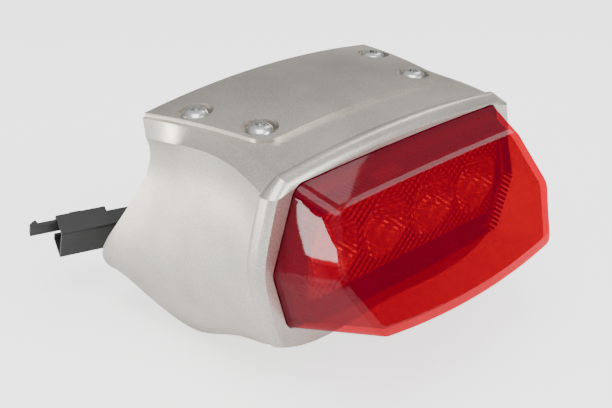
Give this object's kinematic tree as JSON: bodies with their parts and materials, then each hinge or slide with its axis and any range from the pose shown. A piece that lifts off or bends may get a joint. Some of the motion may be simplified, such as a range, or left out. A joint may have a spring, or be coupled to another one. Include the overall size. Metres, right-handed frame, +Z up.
{
  "type": "motorcycle tail light",
  "caption": "Motorcycle LED tail light: flared metal shell bolted from above, leaning red lens, LED reflector unit, short lead with a latching plug.",
  "frame": {"origin": "centre of the bolt pattern on the flat seat under the top plate, where the light rests on its bracket", "axes": "+Z up along the mounting bolts, -Y the way the lens looks, +X across the width"},
  "size_m": [0.146, 0.1437, 0.0835],
  "materials": {
    "silver_paint": "satin silver metallic lacquer on a die casting",
    "zinc_steel": "bright zinc plate",
    "red_lens": "clear moulded acrylic, polished",
    "black_rubber": "matte",
    "black_plastic": "moulded, matte",
    "board_laminate": "white solder mask",
    "led_body": "clear dome on a white body",
    "component_black": "moulded",
    "reflector_chrome": "vacuum metallised",
    "connector_plastic": "moulded nylon",
    "tinned_brass": "tin plate",
    "lead_sleeve": "soft vinyl"
  },
  "bodies": {
    "unit": {"housing": "silver_paint", "mounting_bolts": "zinc_steel", "bolt_washers": "zinc_steel", "lens": "red_lens", "lens_gasket": "black_rubber", "lamp_base": "black_plastic", "base_screws": "zinc_steel", "led_board": "board_laminate", "leds": "led_body", "board_resistors": "component_black", "board_diode": "component_black", "reflector": "reflector_chrome", "board_screws": "zinc_steel", "reflector_frame": "black_plastic", "connector_hood": "connector_plastic", "connector_tail": "connector_plastic", "connector_pins": "tinned_brass", "connector_boot": "black_rubber", "lead": "lead_sleeve", "lead_grommet": "black_rubber", "board_wires": "lead_sleeve"},
    "latch": {"connector_latch": "connector_plastic"}
  },
  "joints": [
    {"name": "latch_rock", "type": "hinge", "parent": "unit", "child": "latch", "pos_m": [-0.06425, 0.06006, -0.04347], "axis": [-0.14, -0.4475, 0.8832], "range_deg": [-4, 4], "stiffness_Nm_per_rad": 0.02}
  ]
}
